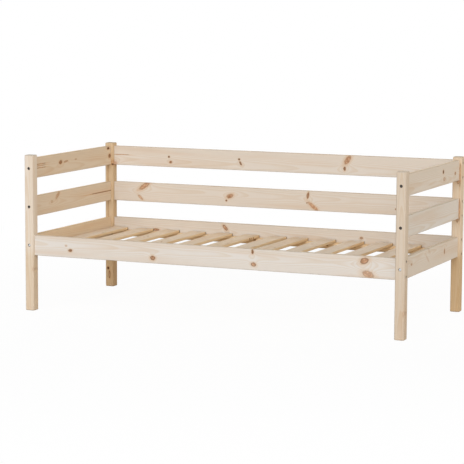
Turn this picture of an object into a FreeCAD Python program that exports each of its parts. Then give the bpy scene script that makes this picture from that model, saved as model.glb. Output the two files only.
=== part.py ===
"""Junior bed in solid pine, drawn as a parametric document.

Millimetres, Z up. X runs along the bed, with the right end at +X. Y runs from the open front (-Y) to the
railed back (+Y). The origin is on the floor, under the middle of the bed.
"""
import FreeCAD, Part
import os

import Sketcher
from FreeCAD import Vector

# Driving sizes in millimetres. Every other size in the document follows from these.
SIZES = {
    # Whole bed
    "overall_length": 1660,
    "overall_width": 760,
    "overall_height": 650,
    # Posts: width runs along the bed, depth across it
    "post_width": 40,
    "post_depth": 38,
    "post_edge_radius": 4,
    # Rails, all of one section, centred on the posts
    "rail_thickness": 18,
    "rail_height": 85,
    "rail_edge_radius": 3,
    "rail_pitch": 160,
    "top_gap": 13,
    # Ledgers inside the two long bed rails
    "ledger_width": 25,
    "ledger_height": 25,
    "ledger_rise": 5,
    "ledger_end_gap": 5,
    "ledger_edge_radius": 1.5,
    # Slats, laid as two groups that start at the two ends of the bed
    "slat_width": 70,
    "slat_thickness": 12,
    "slat_edge_radius": 3.5,
    "slat_end_gap": 4,
    "slat_post_gap": 1,
    "slat_group_gap": 30,
    # Socket-head bolts and the barrel nuts that they screw into
    "bolt_diameter": 6,
    "bolt_length": 75,
    "bolt_head_diameter": 10,
    "bolt_head_height": 6,
    "socket_circumradius": 2.9,
    "socket_depth": 3.5,
    "counterbore_depth": 8,
    "head_clearance": 2.5,
    "bolt_clearance": 0.6,
    "bolt_hole_overrun": 5,
    "bolt_edge_distance": 12.5,
    "nut_diameter": 10,
    "nut_setback": 35,
    "nut_cover": 2,
    "nut_slot_width": 1.4,
    "nut_slot_depth": 1.6,
    # Dowels that stop an end rail turning on its one bolt
    "dowel_diameter": 8,
    "dowel_spacing": 34,
    "dowel_rail_depth": 22,
    "dowel_wall": 2.5,
    # Countersunk wood screws
    "screw_diameter": 4,
    "screw_head_diameter": 8,
    "screw_tip_cover": 5,
    "recess_circumradius": 1.6,
    "recess_depth": 1.5,
    # Room round dowels, nuts and screws, on the diameter
    "fit_clearance": 0.4,
}

LEVELS = {"top": 0, "middle": 1, "bed": 2}
LEFT_SLATS = 7
RIGHT_SLATS = 6
LEDGER_SCREWS_PER_HALF = 3
SOCKET_SIDES = 6

doc = FreeCAD.newDocument("junior_bed")
sheet = doc.addObject("Spreadsheet::Sheet", "sizes")
for row, (alias, value) in enumerate(SIZES.items(), start=1):
    sheet.set(f"A{row}", alias)
    sheet.set(f"B{row}", str(value))
    sheet.setAlias(f"B{row}", alias)
doc.recompute()

# Expressions that several pieces share
POST_X = "(sizes.overall_length - sizes.post_width) / 2"
POST_Y = "(sizes.overall_width - sizes.post_depth) / 2"
POST_INNER_X = "(sizes.overall_length / 2 - sizes.post_width)"
POST_INNER_Y = "(sizes.overall_width / 2 - sizes.post_depth)"
LONG_RAIL_INNER_Y = f"({POST_Y} - sizes.rail_thickness / 2)"
LEDGER_Y = f"({LONG_RAIL_INNER_Y} - sizes.ledger_width / 2)"
LEDGER_LENGTH = f"(2 * {POST_INNER_X} - 2 * sizes.ledger_end_gap)"
HALF_PAIR = "(sizes.rail_height / 2 - sizes.bolt_edge_distance)"
HALF_DOWELS = "(sizes.dowel_spacing / 2)"
BOLT_HOLE = "(sizes.bolt_diameter + sizes.bolt_clearance)"
COUNTERBORE = "(sizes.bolt_head_diameter + sizes.head_clearance)"
NUT_HOLE = "(sizes.nut_diameter + sizes.fit_clearance)"
NUT_LENGTH = "(sizes.rail_thickness - 2 * sizes.nut_cover)"
NUT_HOLE_DEPTH = "(sizes.rail_thickness - sizes.nut_cover)"
DOWEL_HOLE = "(sizes.dowel_diameter + sizes.fit_clearance)"
DOWEL_POST_DEPTH = f"(sizes.post_depth / 2 - {BOLT_HOLE} / 2 - sizes.dowel_wall)"
SCREW_HOLE = "(sizes.screw_diameter + sizes.fit_clearance)"
SCREW_SINK = "(sizes.screw_head_diameter + sizes.fit_clearance)"
SCREW_HEAD_HEIGHT = "((sizes.screw_head_diameter - sizes.screw_diameter) / 2)"
SLAT_SCREW_LENGTH = "(sizes.slat_thickness + sizes.ledger_height - sizes.screw_tip_cover)"
LEDGER_SCREW_LENGTH = "(sizes.ledger_width + sizes.rail_thickness - sizes.screw_tip_cover)"
SLAT_PITCH = (f"((2 * {POST_INNER_X} - 2 * sizes.slat_post_gap - 2 * sizes.slat_width - sizes.slat_group_gap)"
              f" / {LEFT_SLATS + RIGHT_SLATS - 2})")
END_SLAT_X = f"({POST_INNER_X} - sizes.slat_post_gap - sizes.slat_width / 2)"


def rail_middle(level):
    """Height of the middle of the rails at one level, counted down from the top."""
    return f"(sizes.overall_height - sizes.top_gap - sizes.rail_height / 2 - {level} * sizes.rail_pitch)"


BED_RAIL_MIDDLE = rail_middle(LEVELS["bed"])
LEDGER_MIDDLE = f"({BED_RAIL_MIDDLE} - sizes.rail_height / 2 + sizes.ledger_rise + sizes.ledger_height / 2)"
LEDGER_TOP = f"({LEDGER_MIDDLE} + sizes.ledger_height / 2)"
SLAT_TOP = f"({LEDGER_TOP} + sizes.slat_thickness)"


def slat_middles():
    """Where the slats' middles lie along the bed, from the left end to the right end."""
    left = [f"(-{END_SLAT_X} + {step} * {SLAT_PITCH})" for step in range(LEFT_SLATS)]
    right = [f"({END_SLAT_X} - {step} * {SLAT_PITCH})" for step in reversed(range(RIGHT_SLATS))]
    return left + right


def ledger_screw_places():
    """Where the ledger screws lie along the bed, midway between slats."""
    first = f"({END_SLAT_X} - {SLAT_PITCH} / 2)"
    right = [f"({first} - {2 * step} * {SLAT_PITCH})" for step in range(LEDGER_SCREWS_PER_HALF)]
    return right + [f"(-{place})" for place in right]


def origin_feature(body, role):
    """One of a body's own origin planes or axes."""
    return next(item for item in body.Origin.OriginFeatures if item.Role == role)


def attach(feature, body, role, across="0", up="0", out="0"):
    """Lays a feature on an origin plane, moved across it, up it and out of it.

    The XZ plane faces the front (-Y), the YZ plane the right (+X) and the XY plane upwards.
    """
    feature.AttachmentSupport = (origin_feature(body, role), [""])
    feature.MapMode = "FlatFace"
    for axis, expression in zip("xyz", (across, up, out)):
        feature.setExpression(f"AttachmentOffset.Base.{axis}", expression)


def new_body(label, x="0", y="0", z="0"):
    """An empty sub-part, placed by sheet expressions."""
    body = doc.addObject("PartDesign::Body", label)
    body.Label = label
    for axis, expression in zip("xyz", (x, y, z)):
        body.setExpression(f"Placement.Base.{axis}", expression)
    return body


def bind(sketch, constraint, name, expression):
    """Adds a dimension to a sketch and ties it to the sheet."""
    sketch.renameConstraint(sketch.addConstraint(constraint), name)
    sketch.setExpression(f"Constraints.{name}", expression)


def add_board(body, role, wide, tall, long, radius, rounded_ends=False):
    """A board centred on the body's origin: a rectangle on an origin plane, drawn out both ways and eased."""
    sketch = body.newObject("Sketcher::SketchObject", "section")
    attach(sketch, body, role)
    corners = [Vector(-1, -1, 0), Vector(1, -1, 0), Vector(1, 1, 0), Vector(-1, 1, 0)]
    for index, corner in enumerate(corners):
        sketch.addGeometry(Part.LineSegment(corner, corners[(index + 1) % 4]), False)
    for index in range(4):
        sketch.addConstraint(Sketcher.Constraint("Coincident", index, 2, (index + 1) % 4, 1))
        sketch.addConstraint(Sketcher.Constraint("Horizontal" if index % 2 == 0 else "Vertical", index))
    sketch.addConstraint(Sketcher.Constraint("Symmetric", 0, 1, 1, 2, -1, 1))
    bind(sketch, Sketcher.Constraint("DistanceX", 0, 1, 0, 2, 2), "wide", wide)
    bind(sketch, Sketcher.Constraint("DistanceY", 1, 1, 1, 2, 2), "tall", tall)

    pad = body.newObject("PartDesign::Pad", "stock")
    pad.Profile = sketch
    pad.SideType = "Symmetric"
    pad.setExpression("Length", long)
    doc.recompute()

    eased = body.newObject("PartDesign::Fillet", "eased_edges")
    if rounded_ends:
        eased.Base = (pad, [""])
        eased.UseAllEdges = True
    else:
        along = sketch.Placement.Rotation.multVec(Vector(0, 0, 1))
        edges = [f"Edge{number}" for number, edge in enumerate(pad.Shape.Edges, start=1)
                 if edge.tangentAt(edge.FirstParameter).cross(along).Length < 1e-6]
        eased.Base = (pad, edges)
    eased.setExpression("Radius", radius)
    doc.recompute()


def drill(body, name, role, side, reach, places, diameter, depth=None, counterbore=None, countersink=None):
    """Drills round holes into a board from the face that lies `reach` out on one side of an origin plane."""
    sketch = body.newObject("Sketcher::SketchObject", f"{name}_places")
    attach(sketch, body, role, out=f"{side} * {reach}")
    for number, (across, up) in enumerate(places):
        circle = sketch.addGeometry(Part.Circle(Vector(1, 1, 0), Vector(0, 0, 1), 1), False)
        bind(sketch, Sketcher.Constraint("DistanceX", -1, 1, circle, 3, 1), f"across_{number}", across)
        bind(sketch, Sketcher.Constraint("DistanceY", -1, 1, circle, 3, 1), f"up_{number}", up)
        bind(sketch, Sketcher.Constraint("Diameter", circle, 2), f"diameter_{number}", diameter)
    doc.recompute()

    volume_before = body.Shape.Volume
    hole = body.newObject("PartDesign::Hole", name)
    hole.Profile = sketch
    hole.ThreadType = "None"
    hole.DrillPoint = "Flat"
    hole.Reversed = side < 0
    hole.setExpression("Diameter", diameter)
    if depth:
        hole.DepthType = "Dimension"
        hole.setExpression("Depth", depth)
    else:
        hole.DepthType = "ThroughAll"
    if counterbore:
        hole.HoleCutType = "Counterbore"
        hole.HoleCutCustomValues = True
        hole.setExpression("HoleCutDiameter", counterbore)
        hole.setExpression("HoleCutDepth", "sizes.counterbore_depth")
    if countersink:
        hole.HoleCutType = "Countersink"
        hole.HoleCutCustomValues = True
        hole.HoleCutCountersinkAngle = 90
        hole.setExpression("HoleCutDiameter", countersink)
    doc.recompute()
    if body.Shape.Volume >= volume_before:
        raise RuntimeError(f"{body.Label}: {name} cut nothing")


def add_primitive(body, kind, role, across, up, out, **sizes):
    """A cylinder, cone, prism or box of a fastener, standing on a moved origin plane."""
    feature = body.newObject(f"PartDesign::{kind}", kind)
    attach(feature, body, role, across, up, out)
    for name, expression in sizes.items():
        feature.setExpression(name, expression)
    return feature


def repeat(body, axis, spacing, count, backwards=False):
    """Copies everything in the body along an axis."""
    pattern = body.newObject("PartDesign::LinearPattern", "row")
    pattern.TransformMode = "Whole shape"
    pattern.Direction = (origin_feature(body, axis), [""])
    pattern.Reversed = backwards
    pattern.Mode = "Spacing"
    pattern.Occurrences = count
    pattern.setExpression("Offset", spacing)
    body.Tip = pattern
    doc.recompute()


def mirror(body, role):
    """Copies everything in the body to the other side of an origin plane."""
    mirrored = body.newObject("PartDesign::Mirrored", "other_side")
    mirrored.TransformMode = "Whole shape"
    mirrored.MirrorPlane = (origin_feature(body, role), [""])
    body.Tip = mirrored
    doc.recompute()


def make_post(label, side_x, side_y, long_rail_levels):
    """A corner post with counterbored bolt holes in its two outer faces and dowel holes for the end rails."""
    post = new_body(label, f"{side_x} * {POST_X}", f"{side_y} * {POST_Y}", "sizes.overall_height / 2")
    add_board(post, "XY_Plane", "sizes.post_width", "sizes.post_depth", "sizes.overall_height",
              "sizes.post_edge_radius", rounded_ends=True)
    middles = {level: f"{rail_middle(number)} - sizes.overall_height / 2" for level, number in LEVELS.items()}
    drill(post, "end_rail_bolt_holes", "XZ_Plane", -side_y, "sizes.post_depth / 2",
          [("0", middle) for middle in middles.values()], BOLT_HOLE, counterbore=COUNTERBORE)
    drill(post, "dowel_holes", "XZ_Plane", side_y, "sizes.post_depth / 2",
          [("0", f"{middle} + {sign} * {HALF_DOWELS}") for middle in middles.values() for sign in (1, -1)],
          DOWEL_HOLE, depth=DOWEL_POST_DEPTH)
    drill(post, "long_rail_bolt_holes", "YZ_Plane", side_x, "sizes.post_width / 2",
          [("0", f"{middles[level]} + {sign} * {HALF_PAIR}") for level in long_rail_levels for sign in (1, -1)],
          BOLT_HOLE, counterbore=COUNTERBORE)
    return post


def make_end_rail(label, side_x, level):
    """A short rail between a front and a back post, with its barrel nuts let in from the left face."""
    length = f"(2 * {POST_INNER_Y})"
    rail = new_body(label, f"{side_x} * {POST_X}", "0", rail_middle(level))
    add_board(rail, "XZ_Plane", "sizes.rail_thickness", "sizes.rail_height", length, "sizes.rail_edge_radius")
    bolt_depth = "sizes.bolt_length - sizes.post_depth + sizes.counterbore_depth + sizes.bolt_hole_overrun"
    for end in (1, -1):
        drill(rail, "bolt_holes", "XZ_Plane", end, f"{length} / 2", [("0", "0")], BOLT_HOLE, depth=bolt_depth)
        drill(rail, "dowel_holes", "XZ_Plane", end, f"{length} / 2",
              [("0", f"{sign} * {HALF_DOWELS}") for sign in (1, -1)], DOWEL_HOLE, depth="sizes.dowel_rail_depth")
    nut_y = f"({length} / 2 - sizes.nut_setback)"
    drill(rail, "nut_holes", "YZ_Plane", -1, "sizes.rail_thickness / 2",
          [(nut_y, "0"), (f"-{nut_y}", "0")], NUT_HOLE, depth=NUT_HOLE_DEPTH)
    return rail


def make_long_rail(label, side_y, level, holds_ledger):
    """A long rail between the left and right posts, with its barrel nuts let in from the rear face."""
    length = f"(2 * {POST_INNER_X})"
    rail = new_body(label, "0", f"{side_y} * {POST_Y}", rail_middle(level))
    add_board(rail, "YZ_Plane", "sizes.rail_thickness", "sizes.rail_height", length, "sizes.rail_edge_radius")
    bolt_depth = "sizes.bolt_length - sizes.post_width + sizes.counterbore_depth + sizes.bolt_hole_overrun"
    for end in (1, -1):
        drill(rail, "bolt_holes", "YZ_Plane", end, f"{length} / 2",
              [("0", f"{sign} * {HALF_PAIR}") for sign in (1, -1)], BOLT_HOLE, depth=bolt_depth)
    nut_x = f"({length} / 2 - sizes.nut_setback)"
    drill(rail, "nut_holes", "XZ_Plane", -1, "sizes.rail_thickness / 2",
          [(f"{end} * {nut_x}", f"{sign} * {HALF_PAIR}") for end in (1, -1) for sign in (1, -1)],
          NUT_HOLE, depth=NUT_HOLE_DEPTH)
    if holds_ledger:
        screw_up = f"{LEDGER_MIDDLE} - {BED_RAIL_MIDDLE}"
        drill(rail, "ledger_screw_holes", "XZ_Plane", side_y, "sizes.rail_thickness / 2",
              [(place, screw_up) for place in ledger_screw_places()], SCREW_HOLE,
              depth="sizes.rail_thickness - sizes.screw_tip_cover + sizes.fit_clearance")
    return rail


def make_ledger(label, side_y):
    """The strip inside a long bed rail that carries the slats' ends."""
    ledger = new_body(label, "0", f"{side_y} * {LEDGER_Y}", LEDGER_MIDDLE)
    add_board(ledger, "YZ_Plane", "sizes.ledger_width", "sizes.ledger_height", LEDGER_LENGTH,
              "sizes.ledger_edge_radius")
    drill(ledger, "rail_screw_holes", "XZ_Plane", side_y, "sizes.ledger_width / 2",
          [(place, "0") for place in ledger_screw_places()], SCREW_HOLE, countersink=SCREW_SINK)
    drill(ledger, "slat_screw_holes", "XY_Plane", 1, "sizes.ledger_height / 2",
          [(middle, "0") for middle in slat_middles()], SCREW_HOLE,
          depth="sizes.ledger_height - sizes.screw_tip_cover + sizes.fit_clearance")
    return ledger


def make_slat(label, middle):
    """A slat across the bed, screwed down near both ends."""
    slat = new_body(label, middle, "0", f"{SLAT_TOP} - sizes.slat_thickness / 2")
    add_board(slat, "XZ_Plane", "sizes.slat_width", "sizes.slat_thickness",
              f"2 * {LONG_RAIL_INNER_Y} - 2 * sizes.slat_end_gap", "sizes.slat_edge_radius")
    drill(slat, "screw_holes", "XY_Plane", 1, "sizes.slat_thickness / 2",
          [("0", LEDGER_Y), ("0", f"-{LEDGER_Y}")], SCREW_HOLE, countersink=SCREW_SINK)
    return slat


def new_group(label):
    """A body that holds several separate, identical fasteners in the bed's own frame."""
    body = new_body(label)
    body.AllowCompound = True
    return body


def add_bolt(body, role, across, up, half_size):
    """One socket-head bolt that enters the bed from the front or the right, its head sunk in a counterbore."""
    seat = f"({half_size} - sizes.counterbore_depth)"
    add_primitive(body, "AdditiveCylinder", role, across, up, f"{seat} - sizes.bolt_length",
                  Radius="sizes.bolt_diameter / 2", Height="sizes.bolt_length")
    add_primitive(body, "AdditiveCylinder", role, across, up, seat,
                  Radius="sizes.bolt_head_diameter / 2", Height="sizes.bolt_head_height")
    socket = add_primitive(body, "SubtractivePrism", role, across, up,
                           f"{seat} + sizes.bolt_head_height - sizes.socket_depth",
                           Circumradius="sizes.socket_circumradius", Height="sizes.socket_depth")
    socket.Polygon = SOCKET_SIDES
    doc.recompute()


def add_screw(body, role, across, up, head_face, length):
    """One countersunk screw whose head is flush with a face that looks along the plane's normal."""
    add_primitive(body, "AdditiveCylinder", role, across, up, f"{head_face} - {length}",
                  Radius="sizes.screw_diameter / 2", Height=f"{length} - {SCREW_HEAD_HEIGHT}")
    add_primitive(body, "AdditiveCone", role, across, up, f"{head_face} - {SCREW_HEAD_HEIGHT}",
                  Radius1="sizes.screw_diameter / 2", Radius2="sizes.screw_head_diameter / 2",
                  Height=SCREW_HEAD_HEIGHT)
    recess = add_primitive(body, "SubtractivePrism", role, across, up, f"{head_face} - sizes.recess_depth",
                           Circumradius="sizes.recess_circumradius", Height="sizes.recess_depth")
    recess.Polygon = SOCKET_SIDES
    doc.recompute()


def make_end_rail_bolts():
    """One bolt into each end of each end rail, through the front and back faces of the posts."""
    bolts = new_group("end_rail_bolts")
    add_bolt(bolts, "XZ_Plane", POST_X, BED_RAIL_MIDDLE, "sizes.overall_width / 2")
    repeat(bolts, "Z_Axis", "sizes.rail_pitch", len(LEVELS))
    mirror(bolts, "YZ_Plane")
    mirror(bolts, "XZ_Plane")
    return bolts


def make_end_rail_nuts():
    """The barrel nuts of the end rails, each with its driver slot to the left."""
    nuts = new_group("end_rail_barrel_nuts")
    nut_y = f"({POST_INNER_Y} - sizes.nut_setback)"
    add_primitive(nuts, "AdditiveCylinder", "YZ_Plane", nut_y, BED_RAIL_MIDDLE, f"{POST_X} - {NUT_LENGTH} / 2",
                  Radius="sizes.nut_diameter / 2", Height=NUT_LENGTH)
    add_primitive(nuts, "SubtractiveCylinder", "XZ_Plane", POST_X, BED_RAIL_MIDDLE,
                  f"-{nut_y} - sizes.nut_diameter / 2",
                  Radius="(sizes.bolt_diameter + sizes.fit_clearance) / 2", Height="sizes.nut_diameter")
    add_primitive(nuts, "SubtractiveBox", "YZ_Plane", f"{nut_y} - sizes.nut_diameter / 2",
                  f"{BED_RAIL_MIDDLE} - sizes.nut_slot_width / 2", f"{POST_X} - {NUT_LENGTH} / 2",
                  Length="sizes.nut_diameter", Width="sizes.nut_slot_width", Height="sizes.nut_slot_depth")
    repeat(nuts, "Z_Axis", "sizes.rail_pitch", len(LEVELS))
    mirror(nuts, "XZ_Plane")
    repeat(nuts, "X_Axis", f"2 * {POST_X}", 2, backwards=True)
    return nuts


def make_end_rail_dowels():
    """Two dowels beside each end-rail bolt."""
    dowels = new_group("end_rail_dowels")
    add_primitive(dowels, "AdditiveCylinder", "XZ_Plane", POST_X, f"{BED_RAIL_MIDDLE} - {HALF_DOWELS}",
                  f"{POST_INNER_Y} - sizes.dowel_rail_depth",
                  Radius="sizes.dowel_diameter / 2", Height=f"sizes.dowel_rail_depth + {DOWEL_POST_DEPTH}")
    doc.recompute()
    repeat(dowels, "Z_Axis", "sizes.dowel_spacing", 2)
    repeat(dowels, "Z_Axis", "sizes.rail_pitch", len(LEVELS))
    mirror(dowels, "YZ_Plane")
    mirror(dowels, "XZ_Plane")
    return dowels


def make_long_rail_bolts(label, side_y, level_count):
    """A pair of bolts into each end of the long rails on one side, through the outer faces of the posts."""
    bolts = new_group(label)
    add_bolt(bolts, "YZ_Plane", f"{side_y} * {POST_Y}", f"{BED_RAIL_MIDDLE} - {HALF_PAIR}",
             "sizes.overall_length / 2")
    repeat(bolts, "Z_Axis", f"2 * {HALF_PAIR}", 2)
    if level_count > 1:
        repeat(bolts, "Z_Axis", "sizes.rail_pitch", level_count)
    mirror(bolts, "YZ_Plane")
    return bolts


def make_long_rail_nuts(label, side_y, level_count):
    """The barrel nuts of the long rails on one side, each with its driver slot to the rear."""
    nuts = new_group(label)
    nut_x = f"({POST_INNER_X} - sizes.nut_setback)"
    nut_y = f"({side_y} * {POST_Y})"
    nut_z = f"({BED_RAIL_MIDDLE} - {HALF_PAIR})"
    rear_end = f"(-{nut_y} - {NUT_LENGTH} / 2)"
    add_primitive(nuts, "AdditiveCylinder", "XZ_Plane", nut_x, nut_z, rear_end,
                  Radius="sizes.nut_diameter / 2", Height=NUT_LENGTH)
    add_primitive(nuts, "SubtractiveCylinder", "YZ_Plane", nut_y, nut_z, f"{nut_x} - sizes.nut_diameter / 2",
                  Radius="(sizes.bolt_diameter + sizes.fit_clearance) / 2", Height="sizes.nut_diameter")
    add_primitive(nuts, "SubtractiveBox", "XZ_Plane", f"{nut_x} - sizes.nut_diameter / 2",
                  f"{nut_z} - sizes.nut_slot_width / 2", rear_end,
                  Length="sizes.nut_diameter", Width="sizes.nut_slot_width", Height="sizes.nut_slot_depth")
    repeat(nuts, "Z_Axis", f"2 * {HALF_PAIR}", 2)
    if level_count > 1:
        repeat(nuts, "Z_Axis", "sizes.rail_pitch", level_count)
    mirror(nuts, "YZ_Plane")
    return nuts


def make_ledger_screws():
    """The screws that hold both ledgers to the long bed rails, with their heads towards the bed's middle."""
    screws = new_group("ledger_screws")
    inner_face = f"({LONG_RAIL_INNER_Y} - sizes.ledger_width)"
    add_screw(screws, "XZ_Plane", f"{END_SLAT_X} - {SLAT_PITCH} / 2", LEDGER_MIDDLE, f"-{inner_face}",
              LEDGER_SCREW_LENGTH)
    mirror(screws, "XZ_Plane")
    repeat(screws, "X_Axis", f"2 * {SLAT_PITCH}", LEDGER_SCREWS_PER_HALF, backwards=True)
    mirror(screws, "YZ_Plane")
    return screws


def make_slat_screws(label, side_x, slat_count):
    """The screws that hold one group of slats down on both ledgers."""
    screws = new_group(label)
    add_screw(screws, "XY_Plane", f"{side_x} * {END_SLAT_X}", f"-{LEDGER_Y}", SLAT_TOP, SLAT_SCREW_LENGTH)
    repeat(screws, "X_Axis", SLAT_PITCH, slat_count, backwards=side_x > 0)
    mirror(screws, "XZ_Plane")
    return screws


SIDES_X = {"left": -1, "right": 1}
SIDES_Y = {"front": -1, "back": 1}
LONG_RAIL_LEVELS = {"front": ["bed"], "back": list(LEVELS)}

pieces = []
for name_y, side_y in SIDES_Y.items():
    for name_x, side_x in SIDES_X.items():
        pieces.append(make_post(f"{name_y}_{name_x}_post", side_x, side_y, LONG_RAIL_LEVELS[name_y]))
for name_x, side_x in SIDES_X.items():
    for level, number in LEVELS.items():
        pieces.append(make_end_rail(f"{name_x}_{level}_rail", side_x, number))
for name_y, side_y in SIDES_Y.items():
    for level in LONG_RAIL_LEVELS[name_y]:
        pieces.append(make_long_rail(f"{name_y}_{level}_rail", side_y, LEVELS[level], level == "bed"))
for name_y, side_y in SIDES_Y.items():
    pieces.append(make_ledger(f"{name_y}_ledger", side_y))
for number, middle in enumerate(slat_middles(), start=1):
    pieces.append(make_slat(f"slat_{number:02d}", middle))
pieces.append(make_end_rail_bolts())
pieces.append(make_end_rail_nuts())
pieces.append(make_end_rail_dowels())
for name_y, side_y in SIDES_Y.items():
    level_count = len(LONG_RAIL_LEVELS[name_y])
    pieces.append(make_long_rail_bolts(f"{name_y}_rail_bolts", side_y, level_count))
    pieces.append(make_long_rail_nuts(f"{name_y}_rail_barrel_nuts", side_y, level_count))
pieces.append(make_ledger_screws())
pieces.append(make_slat_screws("left_slat_screws", -1, LEFT_SLATS))
pieces.append(make_slat_screws("right_slat_screws", 1, RIGHT_SLATS))
doc.recompute()

for item in doc.Objects:
    if "Invalid" in item.State or "Error" in item.State:
        raise RuntimeError(f"{item.Label} failed: {item.getStatusString()}")
for piece in pieces:
    if piece.Shape.isNull() or not piece.Shape.isValid():
        raise RuntimeError(f"{piece.Label} has no valid shape")

os.makedirs("parts", exist_ok=True)
for piece in pieces:
    piece.Shape.exportStep(f"parts/{piece.Label}.step")
    print(f"{piece.Label}: {len(piece.Shape.Solids)} solids, {piece.Shape.Volume / 1000:.1f} cm3")
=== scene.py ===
"""Junior bed in pale knotty pine: finishes for its boards, detailed fasteners, and a plain studio.

Metres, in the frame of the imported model: X along the bed, Y from the open front to the railed back, Z up.
"""

import math
from typing import NamedTuple

import bpy
import numpy as np
from mathutils import Matrix, Vector


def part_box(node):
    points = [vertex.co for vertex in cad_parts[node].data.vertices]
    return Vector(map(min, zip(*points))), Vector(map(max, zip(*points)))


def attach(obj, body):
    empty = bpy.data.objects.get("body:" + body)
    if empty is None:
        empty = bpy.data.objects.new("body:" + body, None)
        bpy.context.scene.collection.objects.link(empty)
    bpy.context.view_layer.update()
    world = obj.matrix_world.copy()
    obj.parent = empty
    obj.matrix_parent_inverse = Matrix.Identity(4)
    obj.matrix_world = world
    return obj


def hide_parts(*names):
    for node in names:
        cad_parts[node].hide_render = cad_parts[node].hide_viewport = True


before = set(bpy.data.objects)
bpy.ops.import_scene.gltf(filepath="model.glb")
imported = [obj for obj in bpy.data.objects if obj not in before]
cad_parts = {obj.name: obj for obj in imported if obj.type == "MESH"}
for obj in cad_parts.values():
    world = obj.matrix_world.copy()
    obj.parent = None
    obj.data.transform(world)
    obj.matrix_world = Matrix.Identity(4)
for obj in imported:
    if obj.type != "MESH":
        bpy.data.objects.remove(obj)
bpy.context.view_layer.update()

bl_info = {
    "name": "Junior Bed",
    "version": (1, 0, 0),
    "blender": (4, 5, 0),
    "location": "3D View > Sidebar > Junior Bed",
    "description": "Finishes the boards and fasteners of a slatted pine junior bed and sets up its studio",
    "category": "Object",
}

MM = 0.001
BODY = "root"
WHITE = (1.0, 1.0, 1.0)
UPWARDS = (0.0, 0.0, 1.0)
LEVELS = ("top", "middle", "bed")
SIDES_X = {"left": -1, "right": 1}
SIDES_Y = {"front": -1, "back": 1}
SLAT_COUNT = 13
LEFT_SLATS = 7
SEEDS = {"posts": 11, "end_rails": 23, "long_rails": 37, "slats": 53, "bolts": 61, "screws": 71}

# Axes of a board as (along the grain, across the face, through the thickness)
LONG_RAIL_AXES = (0, 2, 1)
END_RAIL_AXES = (1, 2, 0)
POST_AXES = (2, 0, 1)
SLAT_AXES = (1, 0, 2)


def screen_colour(red, green, blue):
    """The linear colour that shows as this 8-bit screen colour: the sRGB curve undone."""
    parts = (part / 255 for part in (red, green, blue))
    return tuple(part / 12.92 if part <= 0.04045 else ((part + 0.055) / 1.055) ** 2.4 for part in parts)


def opaque(colour):
    """A colour with full alpha, as a colour socket takes it."""
    return (*colour, 1.0)


class PineSettings(bpy.types.PropertyGroup):
    """The look of the boards' pine."""

    pale: bpy.props.FloatVectorProperty(
        name="Pale pine", description="Early wood of the palest board", subtype="COLOR", min=0, max=1,
        default=screen_colour(219, 215, 211))
    warm: bpy.props.FloatVectorProperty(
        name="Warm pine", description="Early wood of the warmest board", subtype="COLOR", min=0, max=1,
        default=screen_colour(206, 181, 146))
    late: bpy.props.FloatVectorProperty(
        name="Late wood", description="Tint of the dark part of each year ring", subtype="COLOR", min=0,
        max=1, default=screen_colour(242, 228, 208))
    blush: bpy.props.FloatVectorProperty(
        name="Blush", description="Tint of the pinkish streaks of heartwood", subtype="COLOR", min=0, max=1,
        default=screen_colour(251, 244, 237))
    knot: bpy.props.FloatVectorProperty(
        name="Knot", description="Colour of the dark wood inside a knot", subtype="COLOR", min=0, max=1,
        default=screen_colour(178, 130, 96))
    knot_pale: bpy.props.FloatVectorProperty(
        name="Pale knot", description="Colour of the pale wood inside a knot", subtype="COLOR", min=0, max=1,
        default=screen_colour(223, 179, 143))
    rim: bpy.props.FloatVectorProperty(
        name="Knot rim", description="Colour of the bark round a knot", subtype="COLOR", min=0, max=1,
        default=screen_colour(70, 44, 30))
    halo: bpy.props.FloatVectorProperty(
        name="Resin halo", description="Tint of the wood round a knot", subtype="COLOR", min=0, max=1,
        default=screen_colour(246, 222, 194))
    end_grain: bpy.props.FloatVectorProperty(
        name="End grain", description="Tint of the boards' cut ends", subtype="COLOR", min=0, max=1,
        default=screen_colour(222, 222, 216))
    # The slats' sides: the colour of sawn wood, warmed and darkened as painted bounce light and shade
    # between the slats
    sawn_with_painted_bounce: bpy.props.FloatVectorProperty(
        name="Sawn edge", description="Colour of the slats' narrow edges", subtype="COLOR", min=0, max=1,
        default=screen_colour(228, 203, 167))
    # Painted offset of light: a warm tint on the rails' narrow faces against the grey sheen they catch
    planed_sheen_offset: bpy.props.FloatVectorProperty(
        name="Planed edge", description="Tint of the rails' narrow edges", subtype="COLOR", min=0, max=1,
        default=screen_colour(249, 240, 223))
    # Painted shade: a post grows darker and warmer towards its foot, low down where shade falls
    foot: bpy.props.FloatVectorProperty(
        name="Foot", description="Tint of the heartwood towards a post's foot", subtype="COLOR", min=0,
        max=1, default=screen_colour(238, 227, 206))
    # Painted shade on the walls of the bolt holes, with the browner grain of the drilled wood
    bore_grain_and_shade: bpy.props.FloatVectorProperty(
        name="Drilled wood", description="Tint of the walls of the bolt holes", subtype="COLOR", min=0,
        max=1, default=screen_colour(120, 98, 80))
    ring_width: bpy.props.FloatProperty(
        name="Ring width", description="Width of one year's growth", unit="LENGTH", min=0.0005,
        default=0.0030)
    whorl_width: bpy.props.FloatProperty(
        name="Whorl width", description="Width of one ring inside a knot", unit="LENGTH", min=0.0005,
        default=0.0019)
    wander: bpy.props.FloatProperty(
        name="Wander", description="How far the rings stray from true circles", unit="LENGTH", min=0,
        default=0.009)
    taper: bpy.props.FloatProperty(
        name="Taper", description="How much the log narrows for each metre of its length", min=0,
        default=0.012)
    roughness: bpy.props.FloatProperty(
        name="Roughness", description="Roughness of the sanded faces", subtype="FACTOR", min=0, max=1,
        default=0.76)
    relief: bpy.props.FloatProperty(
        name="Relief", description="Height of the grain on the sanded faces", unit="LENGTH", min=0,
        default=0.00035)


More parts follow.
